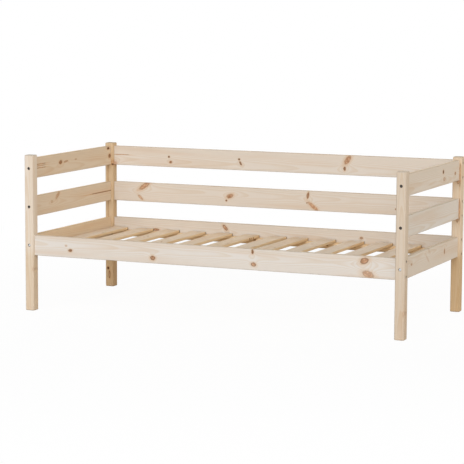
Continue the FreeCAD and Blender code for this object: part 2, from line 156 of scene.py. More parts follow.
class SteelSettings(bpy.types.PropertyGroup):
    """The shapes of the bolts and screws, and the look of their plating."""

    bright: bpy.props.FloatVectorProperty(
        name="Bright zinc", description="Colour of clean plating", subtype="COLOR", min=0, max=1,
        default=screen_colour(214, 218, 222))
    dull: bpy.props.FloatVectorProperty(
        name="Dull zinc", description="Colour of darkened plating", subtype="COLOR", min=0, max=1,
        default=screen_colour(80, 76, 72))
    head_diameter: bpy.props.FloatProperty(
        name="Bolt head", description="Diameter of a bolt's head", unit="LENGTH", default=0.010)
    head_height: bpy.props.FloatProperty(
        name="Head height", description="Height of a bolt's head", unit="LENGTH", default=0.006)
    head_chamfer: bpy.props.FloatProperty(
        name="Head chamfer", description="Chamfer round the top of a bolt's head", unit="LENGTH",
        default=0.0006)
    counterbore: bpy.props.FloatProperty(
        name="Counterbore", description="Depth of the seat of a bolt's head", unit="LENGTH", default=0.008)
    shank_diameter: bpy.props.FloatProperty(
        name="Bolt shank", description="Diameter of a bolt's shank", unit="LENGTH", default=0.006)
    shank_length: bpy.props.FloatProperty(
        name="Bolt length", description="Length of a bolt under its head", unit="LENGTH", default=0.075)
    socket_width: bpy.props.FloatProperty(
        name="Socket", description="Width of the hexagon socket across its flats", unit="LENGTH",
        default=0.005)
    socket_depth: bpy.props.FloatProperty(
        name="Socket depth", description="Depth of the hexagon socket", unit="LENGTH", default=0.0035)
    knurls: bpy.props.IntProperty(
        name="Knurls", description="Ridges round a bolt's head", min=0, default=24)
    knurl_depth: bpy.props.FloatProperty(
        name="Knurl depth", description="Depth of the grooves round a bolt's head", unit="LENGTH",
        default=0.0003)
    pair_edge_distance: bpy.props.FloatProperty(
        name="Pair inset", description="From a long rail's edge to its nearer bolt", unit="LENGTH",
        default=0.0125)
    screw_head: bpy.props.FloatProperty(
        name="Screw head", description="Diameter of a countersunk screw's head", unit="LENGTH",
        default=0.008)
    screw_shank: bpy.props.FloatProperty(
        name="Screw shank", description="Diameter of a countersunk screw's shank", unit="LENGTH",
        default=0.004)
    cross_reach: bpy.props.FloatProperty(
        name="Cross reach", description="Half the span of the cross recess", unit="LENGTH", default=0.0024)
    cross_core: bpy.props.FloatProperty(
        name="Cross core", description="Half the width of the cross recess between its arms", unit="LENGTH",
        default=0.0009)
    cross_depth: bpy.props.FloatProperty(
        name="Cross depth", description="Depth of the cross recess", unit="LENGTH", default=0.0016)


class StudioSettings(bpy.types.PropertyGroup):
    """The floor, the light and the camera."""

    floor_radius: bpy.props.FloatProperty(
        name="Floor radius", description="Radius of the floor", unit="LENGTH", default=14.0)
    floor_colour: bpy.props.FloatVectorProperty(
        name="Floor", description="Colour of the floor as it shows", subtype="COLOR", min=0, max=1,
        default=screen_colour(252, 252, 252))
    floor_bounce: bpy.props.FloatVectorProperty(
        name="Floor bounce", description="Colour of the light that the floor sends back up", subtype="COLOR",
        min=0, max=1, default=(0.71, 0.62, 0.51))
    shadow_strength: bpy.props.FloatProperty(
        name="Shadow", description="How much of the bed's shadow shows on the white floor", subtype="FACTOR",
        min=0, max=1, default=0.05)
    ambient: bpy.props.FloatProperty(
        name="Ambient", description="Light from all round", min=0, default=0.27)
    key_strength: bpy.props.FloatProperty(
        name="Key light", description="Strength of the light in front of the bed", min=0, default=2.15)
    key_direction: bpy.props.FloatVectorProperty(
        name="Key direction", description="Direction towards the key light", subtype="DIRECTION",
        default=(0.12, -0.88, 0.44))
    side_strength: bpy.props.FloatProperty(
        name="Side light", description="Strength of the light to the right of the bed", min=0, default=1.29)
    side_colour: bpy.props.FloatVectorProperty(
        name="Side colour", description="Colour of the side light", subtype="COLOR", min=0, max=1,
        default=(1.0, 0.92, 0.80))
    side_direction: bpy.props.FloatVectorProperty(
        name="Side direction", description="Direction towards the side light", subtype="DIRECTION",
        default=(0.95, -0.15, 0.22))
    fill_strength: bpy.props.FloatProperty(
        name="Fill light", description="Strength of the light behind the bed", min=0, default=2.1)
    fill_direction: bpy.props.FloatVectorProperty(
        name="Fill direction", description="Direction towards the fill light", subtype="DIRECTION",
        default=(-0.55, 0.80, 0.16))
    softness: bpy.props.FloatProperty(
        name="Softness", description="Angle that each light spans", subtype="ANGLE",
        default=math.radians(50))
    camera_place: bpy.props.FloatVectorProperty(
        name="Camera", description="Where the camera stands", subtype="TRANSLATION", unit="LENGTH",
        default=(3.0888, -7.1691, 1.3259))
    camera_azimuth: bpy.props.FloatProperty(
        name="Azimuth", description="How far the camera stands round to the right", subtype="ANGLE",
        default=math.radians(23.691))
    camera_tilt: bpy.props.FloatProperty(
        name="Tilt", description="How far the camera looks down", subtype="ANGLE",
        default=math.radians(7.264))
    camera_roll: bpy.props.FloatProperty(
        name="Roll", description="How far the camera leans", subtype="ANGLE", default=math.radians(-0.264))
    focal_pixels: bpy.props.FloatProperty(
        name="Focal length", description="Focal length in pixels of the image", default=1889.4)


class Tone:
    """One socket of a node tree. Arithmetic on it adds Math nodes, and everything else comes from node()."""

    def __init__(self, socket):
        self.socket = socket

    @classmethod
    def node(cls, tree, kind, settings=None, inputs=None, output=0):
        """Adds a node, sets it up, fills or links its inputs, and returns one of its outputs, if it has
        any."""
        made = tree.nodes.new(kind)
        for name, value in (settings or {}).items():
            setattr(made, name, value)
        for name, value in (inputs or {}).items():
            if isinstance(value, Tone):
                tree.links.new(value.socket, made.inputs[name])
            else:
                made.inputs[name].default_value = value
        return cls(made.outputs[output]) if len(made.outputs) else None

    @property
    def tree(self):
        """The node tree that the socket belongs to."""
        return self.socket.id_data

    def output(self, name):
        """Another output of the same node."""
        return Tone(self.socket.node.outputs[name])

    def maths(self, operation, *numbers):
        """A Math node on these numbers."""
        return Tone.node(self.tree, "ShaderNodeMath", {"operation": operation}, dict(enumerate(numbers)))

    def vector(self, operation, *vectors, output=0):
        """A Vector Math node on this vector and the others."""
        return Tone.node(self.tree, "ShaderNodeVectorMath", {"operation": operation},
                         dict(enumerate((self, *vectors))), output)

    def step(self, low, high):
        """0 at low and 1 at high, with a smooth rise between. Low may be the larger."""
        return Tone.node(self.tree, "ShaderNodeMapRange", {"interpolation_type": "SMOOTHSTEP"},
                         {"Value": self, "From Min": low, "From Max": high})

    def mix(self, first, second, blend="MIX"):
        """The first colour where this value is 0, and the second laid over it where it is 1."""
        return Tone.node(self.tree, "ShaderNodeMix", {"data_type": "RGBA", "blend_type": blend},
                         {0: self, 6: first, 7: second}, 2)

    def times(self, shade):
        """This colour multiplied by a value or colour."""
        return Tone.node(self.tree, "ShaderNodeMix", {"data_type": "RGBA", "blend_type": "MULTIPLY"},
                         {0: 1.0, 6: self, 7: shade}, 2)

    def __add__(self, other):
        return self.maths("ADD", self, other)

    def __radd__(self, other):
        return self.maths("ADD", other, self)

    def __sub__(self, other):
        return self.maths("SUBTRACT", self, other)

    def __rsub__(self, other):
        return self.maths("SUBTRACT", other, self)

    def __mul__(self, other):
        return self.maths("MULTIPLY", self, other)

    def __rmul__(self, other):
        return self.maths("MULTIPLY", other, self)

    def __truediv__(self, other):
        return self.maths("DIVIDE", self, other)

    def __rtruediv__(self, other):
        return self.maths("DIVIDE", other, self)

    def __pow__(self, other):
        return self.maths("POWER", self, other)

    def __rpow__(self, other):
        return self.maths("POWER", other, self)

    def __abs__(self):
        return self.maths("ABSOLUTE", self)

    def fraction(self):
        """What is left above the whole number below."""
        return self.maths("FRACT", self)

    def sine(self):
        """The sine of this angle in radians."""
        return self.maths("SINE", self)

    def larger(self, other):
        """The larger of the two values."""
        return self.maths("MAXIMUM", self, other)

    def smaller(self, other):
        """The smaller of the two values."""
        return self.maths("MINIMUM", self, other)


BUMP_STRENGTH = 0.5


def new_material(name):
    """An empty material and its node tree."""
    material = bpy.data.materials.new(name)
    material.use_nodes = True
    material.node_tree.nodes.clear()
    return material, material.node_tree


def own_place(tree):
    """Where a point lies in the object's own coordinates, in metres."""
    return Tone.node(tree, "ShaderNodeTexCoord", output="Object")


def noise(tree, place, waves, detail=2.0):
    """Noise over a place, with this many waves for each unit of it."""
    return Tone.node(tree, "ShaderNodeTexNoise", None,
                     {"Vector": place, "Scale": waves, "Detail": detail}, "Fac")


def finish_surface(tree, colour, roughness, height, relief, constants=None):
    """Closes a material: a Principled surface with these varying inputs, and the constants set on its
    sockets."""
    normal = Tone.node(tree, "ShaderNodeBump", None,
                       {"Strength": BUMP_STRENGTH, "Distance": relief, "Height": height})
    surface = Tone.node(tree, "ShaderNodeBsdfPrincipled", None, {
        "Base Color": colour, "Roughness": roughness, "Normal": normal, **(constants or {})})
    Tone.node(tree, "ShaderNodeOutputMaterial", None, {"Surface": surface})


def dress(node, material):
    """Gives a CAD node a material in place of its plain one."""
    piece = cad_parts[node]
    piece.data.materials.clear()
    piece.data.materials.append(material)


class Knot(NamedTuple):
    """A branch cut by a board, and on the back right post a painted shadow drawn the same way. Millimetres
    from the board's middle, half-sizes, and turn in degrees.

    Strength is how clearly it shows, dead is how far the dark bark fills it, and bark how dark its outline
    is.
    """

    along: float
    across: float
    half_length: float
    half_width: float
    turn: float = 0.0
    strength: float = 0.8
    dead: float = 0.0
    bark: float = 1.0


class Stock(NamedTuple):
    """The timber of a board: how warm its colour is, how light, how much painted shade darkens and warms it
    towards a post's foot, and how far its cut ends darken."""

    warmth: float
    shade: float = 1.0
    foot: float = 0.0
    ends: float = 1.0

    def early_wood(self, settings):
        """Its ground colour: from pale to warm by its warmth, times its shade."""
        return tuple(self.shade * ((1 - self.warmth) * pale + self.warmth * warm)
                     for pale, warm in zip(settings.pale, settings.warm))


class Plank:
    """A board of the bed: where its middle is, its half-sizes in millimetres, and the way its grain runs."""

    def __init__(self, node, axes):
        low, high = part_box(node)
        self.node = node
        self.axes = axes
        self.middle = (low + high) / 2
        self.halves = tuple((high - low)[axis] / 2 / MM for axis in axes)


# Noise in the pine: waves for each millimetre along, across and through the grain, and the detail
WANDER_NOISE = ((0.0032, 0.014, 0.014), 2.0)
FIBRE_NOISE = ((0.018, 0.9, 0.9), 3.0)
CLOUD_NOISE = ((0.0018, 0.028, 0.028), 2.0)
PATCH_NOISE = ((0.09, 0.09, 0.09), 2.0)
NOISE_SPREAD = 400

# The pith line: how far across the board it may lie, in half-widths, and how far beside it, in millimetres
PITH_ACROSS = 0.6
PITH_BESIDE = (34, 70)

# A knot: the swelling of the rings round it, its ragged outline in half-widths, and its depth in
# half-thicknesses of the board
SWELL_HEIGHT = 1.1
SWELL_FALL = 0.16
KNOT_RAGGED = 0.7
KNOT_DEPTH = 4

# Where a knot's masks are nothing and where they are full, in its half-sizes from its middle
KNOT_WOOD = (1.2, 0.8)
BARK_INSIDE = (0.6, 0.95)
BARK_OUTSIDE = (1.22, 1.02)
HALO_REACH = (2.4, 0.9)

# Where masks made from noise, or from the run of one ring, are nothing and where they are full
LATE_RISE = (0.25, 0.88)
LATE_FALL = (1.0, 0.92)
WHORL_RISE = (0.2, 0.95)
WHORL_BREAKS = (0.2, 0.7)
BARK_BREAKS = (0.28, 0.55)
KNOT_MOTTLE = (0.4, 0.62)
BLUSH_STREAKS = (0.46, 0.72)

# How squarely a surface faces along the grain to be a cut end, and across it to be a narrow side
END_FACING = (0.55, 0.85)
SIDE_FACING = (0.35, 0.8)

# The band along an edge that is painted darker as shade and made smoother: millimetres where it starts and
# is full, and the most of the half-thickness it takes
EDGE_BAND_START = 5.0
EDGE_BAND_FULL = 0.3
EDGE_BAND_SHARE = 0.4

# Where each painted shade starts and is full: millimetres deep into the wood on a bolt hole's walls, from a
# slat's end, and up from a post's middle
BORE_SHADE_DEPTH = (1.3, 3.0)
SLAT_END_SHADOW_REACH = (9.0, 2.0)
FOOT_SHADE_BELOW_MIDDLE = (-50.0, -110.0)

# How strongly each mark shows
LATE_TINT = 0.42
HALO_TINT = 0.8
WHORL_TINT = 0.45
BARK_TINT = 0.8
FIBRE_SHADE = 0.08
SLAT_END_SHADOW = 0.55
EDGE_PAINTED_SHADE = 0.18

# What each part of the wood adds to the roughness, and how high it stands in the relief
ROUGHER = {"fibre": 0.14, "late": -0.06, "end": 0.16, "edge": -0.08, "knot": -0.14}
RAISED = {"late": 0.5, "fibre": 0.5, "knot": 0.4, "bark": -0.5}
PINE_SPECULAR = 0.04


class Grain:
    """How a board was cut from its log.

    Along, across and through are millimetres from the board's middle, and place is all three. Wander bends
    the year rings, fibre is the fine figure, cloud the slow change of colour, and patch breaks up the knots.
    """

    def __init__(self, tree, plank, draw):
        self.tree = tree
        self.plank = plank
        self.seed = tuple(draw.uniform(0, NOISE_SPREAD, 3))
        self.pith_across = draw.uniform(-PITH_ACROSS, PITH_ACROSS) * plank.halves[1]
        self.pith_through = draw.choice((-1, 1)) * draw.uniform(*PITH_BESIDE)

        centred = own_place(tree).vector("SUBTRACT", plank.middle).vector("MULTIPLY", (1 / MM,) * 3)
        parts = Tone.node(tree, "ShaderNodeSeparateXYZ", None, {0: centred})
        self.along, self.across, self.through = (parts.output("XYZ"[axis]) for axis in plank.axes)
        self.place = Tone.node(tree, "ShaderNodeCombineXYZ", None,
                               {0: self.along, 1: self.across, 2: self.through})

        self.wander = self.figure(*WANDER_NOISE) - 0.5
        self.fibre = self.figure(*FIBRE_NOISE)
        self.cloud = self.figure(*CLOUD_NOISE)
        self.patch = self.figure(*PATCH_NOISE)
        self.ragged = self.patch.output("Color").vector("SUBTRACT", (0.5,) * 3)

    def figure(self, stretch, detail):
        """Noise stretched along the grain, at a place of this board's own."""
        return noise(self.tree, self.place.vector("MULTIPLY_ADD", stretch, self.seed), 1.0, detail)

    def from_pith(self, settings):
        """Distance from the pith line, shifted by the log's taper and the rings' wander."""
        radius = ((self.across - self.pith_across) ** 2 + (self.through - self.pith_through) ** 2) ** 0.5
        return radius + self.along * settings.taper + self.wander * (settings.wander / MM)


def knot_marks(grain, knot, settings):
    """How far a knot swells the year rings, and its masks.

    Reach is the distance from its middle in its own half-sizes: the wood lies within 1, the bark is a broken
    band about 1, the halo fades outside, and the whorls are rings of equal width inside.
    """
    inside = Tone.node(grain.tree, "ShaderNodeMapping", {"vector_type": "TEXTURE"}, {
        "Vector": grain.ragged.vector("MULTIPLY_ADD", (KNOT_RAGGED * knot.half_width,) * 3, grain.place),
        "Location": (knot.along, knot.across, 0.0),
        "Rotation": (0.0, 0.0, math.radians(knot.turn)),
        "Scale": (knot.half_length, knot.half_width, KNOT_DEPTH * grain.plank.halves[2])})
    reach = inside.vector("LENGTH", output="Value")
    fall = 1 + reach * reach * SWELL_FALL
    swell = (SWELL_HEIGHT * knot.half_width) / (fall * fall)
    wood = reach.step(*KNOT_WOOD) * knot.strength
    band = reach.step(*BARK_INSIDE) * reach.step(*BARK_OUTSIDE) * grain.patch.step(*BARK_BREAKS)
    bark = band * knot.strength * knot.bark
    whorl_count = knot.half_width / settings.whorl_width * MM
    return swell, {
        "wood": wood,
        "bark": bark.larger(wood * knot.dead),
        "halo": reach.step(*HALO_REACH) * knot.strength,
        "whorls": wood * (reach * whorl_count).fraction().step(*WHORL_RISE)}


class Faces(NamedTuple):
    """Masks of a board's cut ends, narrow sides, edges (painted darker as shade) and the walls of its bolt
    holes (painted darker as shade, with their browner drilled grain), and millimetres from its nearer end."""

    end: Tone
    side: Tone
    edge: Tone
    bore_grain_and_shade: Tone
    from_end: Tone


def face_marks(grain):
    """Tells a board's faces apart: ends and sides by where they face, an edge by lying near two faces at
    once, and a hole by lying deep under all of them."""
    facing = Tone.node(grain.tree, "ShaderNodeNewGeometry", output="Normal")
    normals = Tone.node(grain.tree, "ShaderNodeSeparateXYZ", None, {0: facing})
    end, side = (abs(normals.output("XYZ"[axis])).step(*limits)
                 for axis, limits in zip(grain.plank.axes, (END_FACING, SIDE_FACING)))
    from_end, from_side, from_face = (half - abs(run) for half, run in zip(
        grain.plank.halves, (grain.along, grain.across, grain.through)))
    edge_band = min(EDGE_BAND_START, EDGE_BAND_SHARE * grain.plank.halves[2])
    near_end, near_side, near_face = (gap.step(edge_band, EDGE_BAND_FULL) for gap in (from_end, from_side, from_face))
    edge = (near_side * near_face).larger(near_end * near_side.larger(near_face))
    bore_grain_and_shade = from_side.smaller(from_face).smaller(from_end).step(*BORE_SHADE_DEPTH)
    return Faces(end, side, edge, bore_grain_and_shade, from_end)


def pine_ground(grain, faces, settings, stock, edges):
    """The early wood's colour, with the narrow sides' tints (a painted offset of the rails' sheen, and the
    slats' sawn colour with painted bounce light and shade), a painted shadow near the slats' ends, and
    painted shade towards a post's foot.
    """
    ground = opaque(stock.early_wood(settings))
    # The rails' narrow faces: tinted warmer as a painted offset of their grey sheen
    if edges == "planed_sheen_offset":
        ground = faces.side.mix(ground, opaque(settings.planed_sheen_offset), "MULTIPLY")
    # The slats' sides: sawn colour with painted bounce light and shade
    if edges == "sawn_with_painted_bounce":
        ground = faces.side.mix(ground, opaque(settings.sawn_with_painted_bounce))
        # Painted shadow on the slats' sides near their ends, where the gap by the rails lies in shade
        ground = ground.times(1 - faces.side * faces.from_end.step(*SLAT_END_SHADOW_REACH) * SLAT_END_SHADOW)
    # Painted shade towards a post's foot
    if stock.foot:
        foot = grain.along.step(*FOOT_SHADE_BELOW_MIDDLE) * stock.foot
        ground = foot.mix(ground, opaque(settings.foot), "MULTIPLY")
    return ground


def knot_colour(wood, marks, patch, settings):
    """Lays the knots over the wood: halo, mottled inside, whorls, and bark on top."""
    wood = (marks["halo"] * HALO_TINT).mix(wood, opaque(settings.halo), "MULTIPLY")
    mottle = patch.step(*KNOT_MOTTLE).mix(opaque(settings.knot), opaque(settings.knot_pale))
    wood = marks["wood"].mix(wood, mottle)
    wood = (marks["whorls"] * patch.step(*WHORL_BREAKS) * WHORL_TINT).mix(wood, opaque(settings.rim))
    return (marks["bark"] * BARK_TINT).mix(wood, opaque(settings.rim))


def pine(plank, settings, stock, knots, draw, edges=None):
    """Solid pine cut from a log.

    The year rings are circles round a pith line beside the board, so they make arches on a flat face, lines
    on a side and arcs on an end. They stray with a slow noise, shift along the board with the log's taper
    and swell round each knot. A knot is an ellipsoid that runs through the board. Edges says how the narrow
    edges are coloured: "planed_sheen_offset" tints the rails' narrow faces warmer as a painted offset of the
    grey sheen they catch, "sawn_with_painted_bounce" gives the slats' sides the colour of sawn wood with
    painted bounce light and shade and a painted shadow near their ends, and otherwise they are like the
    faces.
    """
    material, tree = new_material(f"pine_{plank.node}")
    grain = Grain(tree, plank, draw)
    faces = face_marks(grain)

    radius = grain.from_pith(settings)
    marks = {}
    for knot in knots:
        swell, masks = knot_marks(grain, knot, settings)
        radius = radius - swell
        for name, mask in masks.items():
            marks[name] = marks[name].larger(mask) if name in marks else mask
    ring = (radius / (settings.ring_width / MM)).fraction()
    late = ring.step(*LATE_RISE) * ring.step(*LATE_FALL)

    wood = pine_ground(grain, faces, settings, stock, edges)
    wood = (late * LATE_TINT).mix(wood, opaque(settings.late), "MULTIPLY")
    wood = grain.cloud.step(*BLUSH_STREAKS).mix(wood, opaque(settings.blush), "MULTIPLY")
    wood = wood.times(1 - FIBRE_SHADE / 2 + grain.fibre * FIBRE_SHADE)
    if marks:
        wood = knot_colour(wood, marks, grain.patch, settings)
    wood = (faces.end * stock.ends).mix(wood, opaque(settings.end_grain), "MULTIPLY")
    # The walls of the bolt holes: painted shade in the holes, with their browner drilled grain
    wood = faces.bore_grain_and_shade.mix(wood, opaque(settings.bore_grain_and_shade), "MULTIPLY")
    # Painted shade along the edges
    wood = wood.times(1 - faces.edge * EDGE_PAINTED_SHADE)

    roughness = settings.roughness + (grain.fibre - 0.5) * ROUGHER["fibre"] + late * ROUGHER["late"]
    roughness = roughness + faces.end * ROUGHER["end"] + faces.edge * ROUGHER["edge"]
    height = late * RAISED["late"] + grain.fibre * RAISED["fibre"]
    if marks:
        roughness = roughness + marks["wood"] * ROUGHER["knot"]
        height = height + marks["wood"] * RAISED["knot"] + marks["bark"] * RAISED["bark"]
    finish_surface(tree, wood, roughness, height, settings.relief, {"Specular IOR Level": PINE_SPECULAR})
    return material


# Stray knots: places in half-sizes of the board, half-sizes in millimetres, turn, strength and dead
STRAY_RANGES = ((-0.85, 0.85), (-0.8, 0.8), (3.5, 9.0), (2.5, 5.0), (-35, 35), (0.35, 0.7), (0.0, 0.6))
SLAT_STRAYS = 2
LEDGER_STRAYS = 4


def stray_knots(draw, plank, count):
    """A few small knots at places drawn at random, clear of the board's ends."""
    along, across, *others = (draw.uniform(low, high, count) for low, high in STRAY_RANGES)
    half_along, half_across, _ = plank.halves
    return [Knot(*values) for values in zip(along * half_along, across * half_across, *others)]


FRONT_RAIL_KNOTS = [
    Knot(-642, 6, 3.5, 3, 0, 0.5, 0.3), Knot(-622, -12, 8, 5.5, 10, 1.0, 0.6),
    Knot(-244, -20, 10, 8, 0, 0.95, 0.4), Knot(194, 31, 5, 8, 0, 0.95, 0.7),
    Knot(199, -19, 10, 7, -10, 0.8, 0.2), Knot(663, 24, 17, 11, 22, 0.85, 0.1, 0.8),
    Knot(678, -27, 24, 12, -15, 0.64, 0.08, 0.5)]
BACK_RAIL_KNOTS = {
    "top": [
        Knot(-785, -36, 9, 9, 0, 0.5, 0.0, 0.0), Knot(-752, 4, 36, 1.5, 0, 0.8, 0.1),
        Knot(-518, 3, 4, 4, 0, 1.0, 1.0), Knot(-510, -20, 6, 5, 0, 0.9, 0.5),
        Knot(-179, 5, 4, 4, 0, 1.0, 1.0), Knot(-172, -12, 9, 4, -60, 0.95, 0.8),
        Knot(323, 22, 22, 10, 55, 0.85, 0.25, 0.35), Knot(310, -15, 5, 8, 0, 0.9, 0.7)],
    "middle": [
        Knot(-639, 28, 29, 9, 33, 0.85, 0.1, 0.5), Knot(-658, -24, 15, 5, -42, 0.65, 0.0, 0.5),
        Knot(-222, 2, 15, 8, 22, 0.9, 0.35, 0.5), Knot(-239, -18, 4, 4, 0, 0.9, 0.9),
        Knot(140, -10, 3, 3, 0, 0.8, 0.8), Knot(144, 22, 13, 5, 80, 0.95, 0.5),
        Knot(168, -24, 28, 7, -38, 0.8, 0.05, 0.3), Knot(542, -17, 3, 3, 0, 0.8, 0.8)],
    "bed": [
        Knot(-582, -5, 15, 5, 0, 0.9, 0.35), Knot(-244, 22, 14, 7, -49, 0.85, 0.2),
        Knot(390, 12, 6, 5, 0, 0.85, 0.5)]}
END_RAIL_KNOTS = {
    "left_top": [
        Knot(-297, 13, 45, 1.5, 0, 0.9), Knot(-300, 6, 42, 1.4, 0, 0.85), Knot(-292, -3, 38, 1.4, 0, 0.85),
        Knot(-123, 6, 12, 7, 0, 0.95, 0.35), Knot(-76, 6, 16, 3.5, 5, 0.6), Knot(12, 8, 8, 3, 0, 0.45, 0.1),
        Knot(315, 33, 11, 5, 0, 1.0, 1.0), Knot(328, -2, 10, 8, 0, 0.95, 0.6)],
    "left_middle": [
        Knot(-150, 28, 20, 8, 40, 0.55, 0.0, 0.5), Knot(-201, 5, 9, 5, 0, 0.35, 0.1),
        Knot(258, 2, 105, 1.8, 0, 0.9, 0.6)],
    "left_bed": [Knot(-298, 20, 6, 4, 10, 0.3)],
    "right_top": [
        Knot(123, 12, 8, 7, 0, 1.0, 1.0), Knot(139, -18, 14, 7, 0, 0.4), Knot(287, -8, 9, 6, 0, 0.7, 0.3)],
    "right_middle": [],
    "right_bed": [
        Knot(158, 5, 6, 9, 0, 0.85, 0.3), Knot(-64, 2, 22, 4, -35, 0.2), Knot(-49, 34, 14, 5, -35, 0.2),
        Knot(-266, 6, 7, 4, 0, 0.6, 0.3)]}
POST_KNOTS = {
    "front_left": [Knot(-150, 17, 10, 3, 0, 0.2)],
    "front_right": [Knot(-220, 17, 12, 3, 0, 0.2)],
    "back_left": [
        Knot(237, 21, 11, 11, 0, 0.6, 0.0, 0.0), Knot(229, 16, 4, 4, 0, 1.0, 1.0),
        Knot(-242, -7, 6, 5, 0, 1.0, 1.0), Knot(-271, 0, 16, 4, 0, 0.8, 0.2),
        Knot(190, -6, 45, 2.5, 0, 0.5), Knot(30, -6, 45, 2.5, 0, 0.5)],
    # Not knots: painted shadow and warm reflected light beside the end rails, drawn as long streaks and
    # spots
    "back_right": [
        Knot(250, 13, 45, 3.5, 0, 0.6), Knot(222, 5, 9, 5, 0, 0.6), Knot(105, 13, 45, 3.5, 0, 0.6),
        Knot(62, 5, 9, 5, 0, 0.6)]}
SLAT_KNOTS = {
    6: [
        Knot(241, 35, 4, 2, 0, 0.8, 0.6), Knot(256, 35, 3, 2, 0, 0.8, 0.6),
        Knot(280, 35, 3, 2, 0, 0.8, 0.6)]}

# The back posts' warm stock is partly painted shade and warm bounce light under the bed, and each post's
# third value paints shade towards its foot
POST_TONE_AND_SHADE = {
    "front_left": Stock(0.34, 1.09, 0.45), "front_right": Stock(0.44, 0.97, 0.1, 0.2),
    "back_left": Stock(0.92, 1.04, 0.45), "back_right": Stock(0.62, 1.09, 1.0)}
END_RAIL_STOCK = {
    "left_top": Stock(0.6, 1.06), "left_middle": Stock(0.58, 1.08), "left_bed": Stock(0.75, 1.13),
    "right_top": Stock(0.2, 1.02), "right_middle": Stock(0.0, 0.99), "right_bed": Stock(0.18, 1.01)}
FRONT_RAIL_STOCK = Stock(0.0)
BACK_RAIL_STOCK = {"top": Stock(0.24), "middle": Stock(0.27, 0.99), "bed": Stock(0.29, 0.96)}
SLAT_SHADE = 1.17
SLAT_STOCK = [Stock(warmth, SLAT_SHADE) for warmth in (
    0.54, 0.64, 0.68, 0.63, 0.66, 0.7, 0.62, 0.64, 0.56, 0.53, 0.5, 0.55, 0.58)]
# The ledgers' warm, light colour is painted: warm bounce light in the shade under the slats
LEDGER_PAINTED_BOUNCE_STOCK = Stock(1.0, 1.25)

# Zinc plating: waves of its noise and radians of the lathe's rings for each metre, its relief, and what
# each mark adds to the dull cover, the roughness and the height
BLOOM_WAVES = 320.0
SPECKLE_WAVES = 2400.0
LATHE_WAVES = 26000.0
PLATING_RELIEF = 0.04 * MM
PLATING_COVER = {"tarnish": 0.85, "bloom": 0.3, "clean": 0.08}
PLATING_ROUGHNESS = {"clean": 0.24, "bloom": 0.2, "speckle": 0.1, "tarnish": 0.12}
PLATING_HEIGHT = {"lathe": 0.6, "speckle": 0.4}

# How tarnished the fasteners are: bolts, the end rails' bolts at bed level, screws, and barrel nuts
BOLT_TARNISH = 1.0
BED_BOLT_TARNISH = 0.25
SCREW_TARNISH = 0.3
NUT_TARNISH = 0.4

# Beech: waves of its flecks for each metre, where they show, and its roughness
FLECK_WAVES = (900.0, 90.0, 900.0)
FLECK_DETAIL = 3.0
FLECKS = (0.55, 0.7)
BEECH_ROUGHNESS = {"plain": 0.5, "fleck": 0.2}


def steel(settings, dulled=0.0):
    """Zinc plating: slow cloudy bloom, fine speckle and the lathe's rings, darkened by tarnish."""
    material, tree = new_material("zinc_plating")
    tarnish, profile = (Tone.node(tree, "ShaderNodeAttribute", {"attribute_name": name}, output="Fac")
                        for name in ("tarnish", "profile"))
    tarnish = tarnish + dulled
    place = own_place(tree)
    bloom = noise(tree, place, BLOOM_WAVES)
    speckle = noise(tree, place, SPECKLE_WAVES)
    lathe = (profile * LATHE_WAVES).sine() * 0.5 + 0.5

    cover = tarnish * PLATING_COVER["tarnish"] + bloom * PLATING_COVER["bloom"] - PLATING_COVER["clean"]
    colour = cover.step(0.0, 1.0).mix(opaque(settings.bright), opaque(settings.dull))
    roughness = PLATING_ROUGHNESS["clean"] + bloom * PLATING_ROUGHNESS["bloom"]
    roughness = roughness + speckle * PLATING_ROUGHNESS["speckle"] + tarnish * PLATING_ROUGHNESS["tarnish"]
    height = lathe * PLATING_HEIGHT["lathe"] + speckle * PLATING_HEIGHT["speckle"]
    finish_surface(tree, colour, roughness, height, PLATING_RELIEF, {"Metallic": 1.0})
    return material


def beech(settings):
    """Beech dowels: pinkish wood with short dark flecks along the grain."""
    material, tree = new_material("beech_dowel")
    grain = Tone.node(tree, "ShaderNodeMapping", None, {"Vector": own_place(tree), "Scale": FLECK_WAVES})
    fleck = noise(tree, grain, 1.0, FLECK_DETAIL)
    colour = fleck.step(*FLECKS).mix(opaque(settings.warm), opaque(settings.knot))
    roughness = BEECH_ROUGHNESS["plain"] + fleck * BEECH_ROUGHNESS["fleck"]
    finish_surface(tree, colour, roughness, fleck, settings.relief)
    return material


class TurnedShape(NamedTuple):
    """A closed turned surface: its vertices, the quads of its walls, the triangles that close its two ends,
    and the distance run along the profile at each vertex."""

    points: np.ndarray
    walls: np.ndarray
    caps: np.ndarray
    profile: np.ndarray


def angles_round(count):
    """Angles in equal steps round a full turn."""
    return np.arange(count) * 2 * np.pi / count


